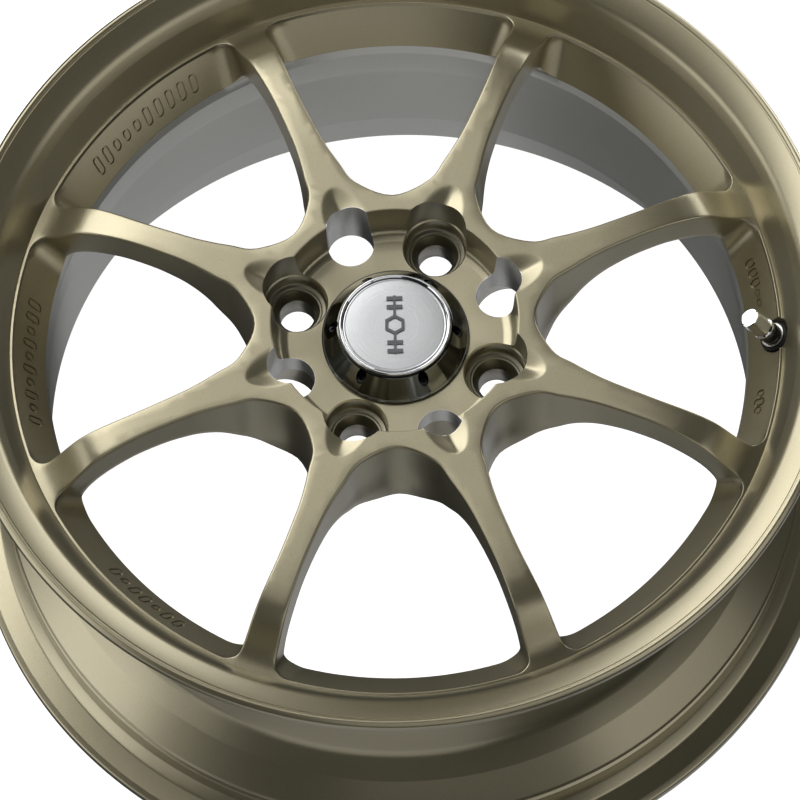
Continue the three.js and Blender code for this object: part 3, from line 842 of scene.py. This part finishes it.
def brushed_look():
    """Silver with fine turning marks: rings whose brightness and height vary with the radius."""
    look = Look("brushed_silver", (0.6, 0.605, 0.61), metallic=0.85, roughness=0.3)
    line = look.node("ShaderNodeCombineXYZ", "Vector", X=look.radius())
    rings = look.node("ShaderNodeTexNoise", "Fac", Vector=line, Scale=5200, Detail=4.0)
    look.set("Roughness", look.spread(rings, 0.24, 0.36, 0.3, 0.7))
    look.set("Base Color", look.mix(rings, (0.54, 0.545, 0.55), (0.66, 0.665, 0.67)))
    look.bump(rings, 0.012, 0.5)
    return look.material


def metal_look(name, color, roughness, scale=900):
    look = Look(name, color, metallic=0.95, roughness=roughness)
    grain = look.noise(scale, 3)
    look.set("Roughness", look.spread(grain, roughness * 0.8, roughness * 1.3, 0.3, 0.7))
    deep = tuple(0.8 * c for c in color)
    look.set("Base Color", look.mix(look.noise(40, 3), deep, color))
    look.bump(grain, 0.01, 0.3)
    return look.material


def rubber_look():
    look = Look("rubber", (0.012, 0.012, 0.012), roughness=0.6, Specular_IOR_Level=0.4)
    look.set("Roughness", look.spread(look.noise(700, 3), 0.5, 0.72, 0.3, 0.7))
    look.bump(look.noise(1400, 3), 0.03, 0.4)
    return look.material


def emblem_look():
    look = Look("emblem_dark", (0.12, 0.12, 0.125), metallic=0.2, roughness=0.35)
    look.set("Roughness", look.spread(look.noise(500, 2), 0.28, 0.42, 0.3, 0.7))
    look.set("Base Color", look.mix(look.noise(90, 2), (0.1, 0.1, 0.105), (0.14, 0.14, 0.145)))
    return look.material


LOOKS = {
    "bronze_coat": bronze_look(),
    "gunmetal_cap": chrome_look("gunmetal_cap", (0.13, 0.13, 0.115), 0.1),
    "bright_chrome": chrome_look("bright_chrome", (0.78, 0.79, 0.8), 0.06),
    "brushed_silver": brushed_look(),
    "emblem_dark": emblem_look(),
    "black_screw": metal_look("black_screw", (0.03, 0.03, 0.03), 0.3),
    "spring_steel": metal_look("spring_steel", (0.42, 0.42, 0.42), 0.3),
    "rubber": rubber_look(),
    "nickel": metal_look("nickel", (0.5, 0.49, 0.45), 0.28),
    "gunmetal_valve": metal_look("gunmetal_valve", (0.1, 0.1, 0.09), 0.3),
    "brass": metal_look("brass", (0.55, 0.4, 0.17), 0.3),
}
NODE_SLOT = {part["node"]: part["material_slot"] for part in frame["record"]["subparts"]}
NODE_BODY = {n: b for b, nodes in frame["record"]["behaviour"]["bodies"].items() for n in nodes}


def stand_for(piece, *nodes):
    """Gives a piece its nodes' finish and body, and lets it stand for them."""
    if len(nodes) == 1:
        piece.name = f"{nodes[0]}_fine"
    slot = NODE_SLOT[nodes[0]]
    piece.data.materials.clear()
    piece.data.materials.append(LOOKS[slot])
    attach(piece, NODE_BODY[nodes[0]])
    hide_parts(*nodes)
    return piece


# ---- Centre cap

CAP_PLACE = Matrix.Translation((0, 0, FLOOR_Z))
CAP_TURN = 128
CAP_BODY = [
    (28.8, -13), (30.2, -13, 0.3), (31.2, -11.6, 0.3), (30.5, -10, 0.3), (31.1, -5), (31.1, 0.6),
    (31.7, 0.6), (31.7, 2.1), (33.9, 2.1), (33.9, 0.3), (34.5, 0.3, 0.2), (34.5, 1.35, 0.4),
    (33.75, 2.0, 0.6), (27.2, 11.9, 0.7), (26.4, 12.3, 0.15), (20, 12.3), (20, 10.3), (26, 9.3),
    (26, -1.5), (28.8, -2.5),
]
CAP_SCREWS = 6
CAP_SCREW_PHASE = -4 * DEG
CAP_SCREW_CIRCLE_R = 28.9
SCREW_TURN = 32
LEG_SLOT_LENGTH, LEG_SLOT_WIDTH, LEG_SLOT_R = 14, 5, 31
LEG_SLOT_HEIGHTS = (-15, -6)
SEAL_R, SEAL_Z = 32.8, 1.05
RING_R, RING_Z = 27.7, -10.4
RING_GAP = 16  # degrees
RING_STEPS = 120
CAP_WIRE_R = 0.7


def cap_screw_places():
    for i in range(CAP_SCREWS):
        angle = CAP_SCREW_PHASE + i * 2 * math.pi / CAP_SCREWS
        yield CAP_PLACE @ spin(angle) @ Matrix.Translation((CAP_SCREW_CIRCLE_R, 0, 0))


def make_cap_body():
    """The cone and skirt, with counterbored screw holes and slots between the legs."""
    body = turned(CAP_BODY, CAP_TURN).build("cap_body", CAP_PLACE)
    hole = turned([
        (0, -1), (1.6, -1), (1.6, 3.6), (2.4, 3.6, 0.4), (2.4, 16), (0, 16),
    ], SCREW_TURN)
    carve(body, [hole.build("hole", place) for place in cap_screw_places()])
    slots = []
    for i in range(CAP_SCREWS):
        loop = bar_loop(LEG_SLOT_WIDTH, LEG_SLOT_LENGTH, 0)[:, ::-1] + [LEG_SLOT_R, 0]
        rows = [np.column_stack([loop, np.full(len(loop), z)]) for z in LEG_SLOT_HEIGHTS]
        slot = Surface().grid(rows).lid(rows[0]).lid(rows[1])
        slots.append(slot.build("slot", CAP_PLACE @ spin(i * 2 * math.pi / CAP_SCREWS)))
    carve(body, slots)
    return soften(body)


def make_cap_screw(name, place):
    """A socket-head screw."""
    screw = turned([
        (0, -0.6), (1.0, -0.6), (1.25, -0.3), (1.25, 3.9), (2.05, 3.9, 0.1), (2.05, 6.1, 0.35),
        (1.9, 6.4, 0.2), (0, 6.4),
    ], SCREW_TURN).build(name, place)
    socket = Surface()
    rows = [ring(1.15, z, 6) for z in (5.1, 8)]
    socket.grid(rows).lid(rows[0]).lid(rows[1])
    return soften(carve(screw, [socket.build("socket", place)]))


def add_centre_cap():
    """The cap's cone and legs, bezel, disc, screws, seal and retaining ring."""
    stand_for(make_cap_body(), "cap_body")
    bezel = turned([
        (24.4, 12.62), (26.2, 12.62), (26.2, 13.7, 0.5), (25.7, 14.35, 0.4), (25.1, 14.35, 0.4),
        (24.6, 13.7, 0.3), (24.4, 13.6),
    ], CAP_TURN)
    stand_for(soften(bezel.build("cap_bezel", CAP_PLACE)), "cap_bezel")
    disc = turned([
        (0, 12.62), (24.1, 12.62), (24.1, 13.2, 0.15), (23.6, 13.3, 0.1), (23.4, 13.2), (23.0, 13.22),
        (22.8, 13.36, 0.1), (12, 13.47), (0.5, 13.49), (0, 13.49),
    ], CAP_TURN)
    stand_for(soften(disc.build("cap_disc", CAP_PLACE)), "cap_disc")
    for i, place in enumerate(cap_screw_places()):
        name = f"cap_screw_{i + 1}"
        stand_for(make_cap_screw(name, place), name)
    section = [(SEAL_R + x, SEAL_Z + y) for x, y, _ in ring(CAP_WIRE_R, 0, 12)]
    seal = turned(section, CAP_TURN)
    stand_for(soften(seal.build("cap_seal", CAP_PLACE), 60), "cap_seal")
    angles = np.linspace(RING_GAP / 2, 360 - RING_GAP / 2, RING_STEPS) * DEG
    flat = RING_R * np.cos(angles), RING_R * np.sin(angles)
    wire = np.column_stack([*flat, np.full(RING_STEPS, RING_Z)])
    stand_for(make_wire("wire", wire, CAP_WIRE_R, CAP_PLACE), "cap_retaining_ring")


# ---- Tyre valve, in its own frame: 0 is the ledge's surface, + is outward

VALVE_PIECES = {
    "valve_stem": [
        (1.2, -12.4), (7.2, -12.4, 0.5), (7.2, -10.4, 0.4), (3.9, -10.4), (3.9, 8.2), (3.6, 8.6),
        (3.6, 19.5), (3.2, 20), (2.5, 20), (2.5, 4), (1.2, 2.7),
    ],
    "valve_inner_seal": [(4.2, -10.1), (7, -10.1, 0.4), (7, -8.3, 0.4), (4.2, -8.3)],
    "valve_grommet": [
        (4.25, -1.7), (7.3, -1.7, 0.3), (7.3, 0.1, 0.7), (6.5, 0.75, 0.5), (4.25, 0.75, 0.2),
    ],
    "valve_washer": [(4.25, 1.1), (6, 1.1, 0.25), (6, 1.9, 0.25), (4.25, 1.9)],
    "valve_nut": [
        (4.2, 2.2), (5, 2.2, 0.3), (5, 3.1, 0.1), (4.8, 3.3), (4.8, 3.6), (5, 3.8, 0.1), (5, 7.6, 0.4),
        (4.6, 8.4, 0.2), (4.2, 8.4),
    ],
    "valve_cap_gasket": [(1.6, 20.3), (3.5, 20.3, 0.2), (3.5, 20.9, 0.2), (1.6, 20.9)],
    "valve_core_body": [
        (0.95, 8), (2.2, 8, 0.2), (2.2, 19.2, 0.2), (0.95, 19.2), (0.95, 14.7), (1.75, 14.6),
        (1.75, 9), (0.95, 8.9),
    ],
    "valve_core_pin": [
        (0, 5.4), (1.3, 5.4, 0.15), (1.3, 6), (0.6, 6), (0.6, 13.6), (1.45, 13.6, 0.1),
        (1.45, 14.2, 0.1), (0.6, 14.2), (0.6, 19.5, 0.2), (0, 19.5),
    ],
    "valve_core_seal": [(0.9, 6.3), (1.9, 6.3, 0.3), (1.9, 7.7, 0.3), (0.9, 7.7)],
}
SPRING_ENDS = (9.4, 13.1)
SPRING_R = 1.2
SPRING_WIRE_R = 0.17
SPRING_COILS = 5
HEX_CORNER_R = 5.1
HEX_START_Z = 10.9  # above this height the cap is hexagonal
HEX_TURN = 96
WIRE_SIDES = 10


def make_valve_cap():
    """A hexagonal cap with turned chamfers, on a round collar, over a plain bore."""
    outside = rounded([
        (4.9, 9.2), (5.3, 9.6, 0.3), (5.3, 10.4, 0.3), (4.9, 10.8), (4.75, 11.2), (5.6, 12.4),
        (5.6, 21.4), (4.5, 23.2), (4.0, 23.4),
    ])
    inside_rows = [(3.9, 21.2), (3.9, 9.6), (4.2, 9.2)]
    angles = np.arange(HEX_TURN) * 2 * math.pi / HEX_TURN + math.pi / 6
    apothem = HEX_CORNER_R * math.cos(math.pi / 6)
    hexagon = apothem / np.cos((angles % (math.pi / 3)) - math.pi / 6)
    rows = []
    for r, z in outside:
        radius = np.minimum(r, hexagon) if z > HEX_START_Z else np.full(HEX_TURN, r)
        flat = radius * np.cos(angles), radius * np.sin(angles)
        rows.append(np.column_stack([*flat, np.full(HEX_TURN, z)]))
    bore = [ring(r, z, HEX_TURN, math.pi / 6) for r, z in inside_rows]
    surface = Surface().grid([*bore, *rows]).lid(rows[-1]).lid(bore[0])
    return soften(surface.build("valve_cap", valve_place()), 24)


def make_wire(name, path, wire_r, place):
    """A round wire along points, with flat ends."""
    path = np.array(path)
    along = np.gradient(path, axis=0)
    along /= np.linalg.norm(along, axis=1)[:, None]
    side = np.cross(along, (0, 0, 1.0))
    side /= np.linalg.norm(side, axis=1)[:, None]
    lift = np.cross(side, along)
    turns = np.arange(WIRE_SIDES) * 2 * math.pi / WIRE_SIDES
    rows = []
    for i, point in enumerate(path):
        circle = np.outer(np.cos(turns), side[i]) + np.outer(np.sin(turns), lift[i])
        rows.append(point + wire_r * circle)
    surface = Surface().grid(rows).lid(rows[0]).lid(rows[-1])
    return soften(surface.build(name, place), 50)


def helix(radius, low, high, turns, steps):
    """Points of a helix about the Z axis."""
    angles = np.linspace(0, turns * 2 * math.pi, steps)
    flat = radius * np.cos(angles), radius * np.sin(angles)
    return np.column_stack([*flat, np.linspace(low, high, steps)])


def add_core_spring():
    """The core's spring, drawn at rest as a helix of wire, with a mesh of its own."""
    low, high = SPRING_ENDS
    place = valve_place()
    coils = helix(SPRING_R, low, high, SPRING_COILS, 120)
    spring = make_wire("spring", coils, SPRING_WIRE_R, place)
    stand_for(spring, "valve_core_spring")
    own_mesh(spring)


def add_valve():
    """The valve's turned pieces, its cap and its spring."""
    for name, profile in VALVE_PIECES.items():
        piece = turned(profile, SMALL_TURN, 3).build(name, valve_place())
        stand_for(soften(piece), name)
    stand_for(make_valve_cap(), "valve_cap")
    add_core_spring()


# ---- Wheel

body = soften(carve_wheel(wheel_shape()), 30)
spokes = [f"spoke_{i + 1}" for i in range(SPOKES)]
stand_for(body, "rim_barrel", "hub", *spokes)
add_centre_cap()
add_valve()
# The CAD nodes that still show get the finish of their slot.
for name, node in frame["nodes"].items():
    if not node.hide_render:
        node.data.materials.clear()
        node.data.materials.append(LOOKS[NODE_SLOT[name]])


# ---- Floor, light and camera


FLOOR_HALF = 30
FLOOR_GREY = (0.9, 0.9, 0.9)


def add_floor():
    """A white floor that only the camera sees, so that it throws no light or shadow."""
    mesh = bpy.data.meshes.new("floor")
    half = FLOOR_HALF
    corners = [(-half, -half, 0), (half, -half, 0), (half, half, 0), (-half, half, 0)]
    mesh.from_pydata(corners, [], [(0, 1, 2, 3)])
    floor = bpy.data.objects.new("floor", mesh)
    bpy.context.scene.collection.objects.link(floor)
    look = Look("floor", FLOOR_GREY, roughness=0.9)
    look.set("Emission Color", (1, 1, 1, 1))
    look.set("Emission Strength", 1.0)
    mesh.materials.append(look.material)
    floor.visible_glossy = False
    floor.visible_diffuse = False
    floor.visible_transmission = False
    floor.visible_shadow = False


# Softboxes on a dome: name, elevation and azimuth in degrees (0 is +X, 90 is away from the camera), watts.
SOFTBOXES = [
    ("key", 40, 130, 32),
    ("overhead", 70, 135, 8),
    ("left_bank", 10, 190, 15),
    ("back_right_bank", 5, 55, 28),
    ("front_fill", 35, 280, 6),
    ("front_right_fill", 20, 330, 10),
    ("left_bounce", -20, 205, 6),
    ("front_bounce", -40, 260, 5),
    ("floor_bounce", -80, 0, 4),
]
SOFTBOX_SIZE = 1.8
SOFTBOX_DISTANCE = 2.2
DOME_CENTRE = Vector((0, 0, 0.1))


def add_softboxes():
    """Square softboxes, each facing the dome's centre."""
    for name, elevation, azimuth, watts in SOFTBOXES:
        e, a = elevation * DEG, azimuth * DEG
        away = Vector((math.cos(e) * math.cos(a), math.cos(e) * math.sin(a), math.sin(e)))
        light = bpy.data.lights.new(name, "AREA")
        light.shape = "SQUARE"
        light.size = SOFTBOX_SIZE
        light.energy = watts
        lamp = bpy.data.objects.new(name, light)
        bpy.context.scene.collection.objects.link(lamp)
        lamp.location = DOME_CENTRE + away * SOFTBOX_DISTANCE
        lamp.rotation_euler = (-away).to_track_quat("-Z", "Y").to_euler()


GLOW_COLOR = (0.9, 0.95, 1, 1)
GLOW_STRENGTH = 0.02


def add_world():
    """A faint even glow, so that no part is quite black."""
    world = bpy.data.worlds.new("studio")
    world.use_nodes = True
    glow = world.node_tree.nodes["Background"]
    glow.inputs["Color"].default_value = GLOW_COLOR
    glow.inputs["Strength"].default_value = GLOW_STRENGTH
    bpy.context.scene.world = world


CAMERA_ELEVATION = 64.29 * DEG
CAMERA_AZIMUTH = 1.86 * DEG
CAMERA_ROLL = -3.16 * DEG
CAMERA_DISTANCE = 4.6593
CAMERA_TARGET = (0.00137, -0.02823, 0.148)
SENSOR = 36
LENS = 450
CLIP_END = 100


def add_camera():
    """A long lens from above the front, with a slight roll."""
    a, e = CAMERA_AZIMUTH, CAMERA_ELEVATION
    away = Vector((math.sin(a) * math.cos(e), -math.cos(a) * math.cos(e), math.sin(e)))
    right = Vector((math.cos(a), math.sin(a), 0))
    up = away.cross(right)
    across = right * math.cos(CAMERA_ROLL) + up * math.sin(CAMERA_ROLL)
    upward = away.cross(across)
    data = bpy.data.cameras.new("camera")
    data.sensor_width = SENSOR
    data.lens = LENS
    data.clip_end = CLIP_END
    camera = bpy.data.objects.new("camera", data)
    bpy.context.scene.collection.objects.link(camera)
    place = Vector(CAMERA_TARGET) + away * CAMERA_DISTANCE
    turn = Matrix((across, upward, away)).transposed().to_4x4()
    camera.matrix_world = Matrix.Translation(place) @ turn
    bpy.context.scene.camera = camera


add_floor()
add_world()
add_softboxes()
add_camera()
bpy.context.scene.view_settings.view_transform = "Standard"
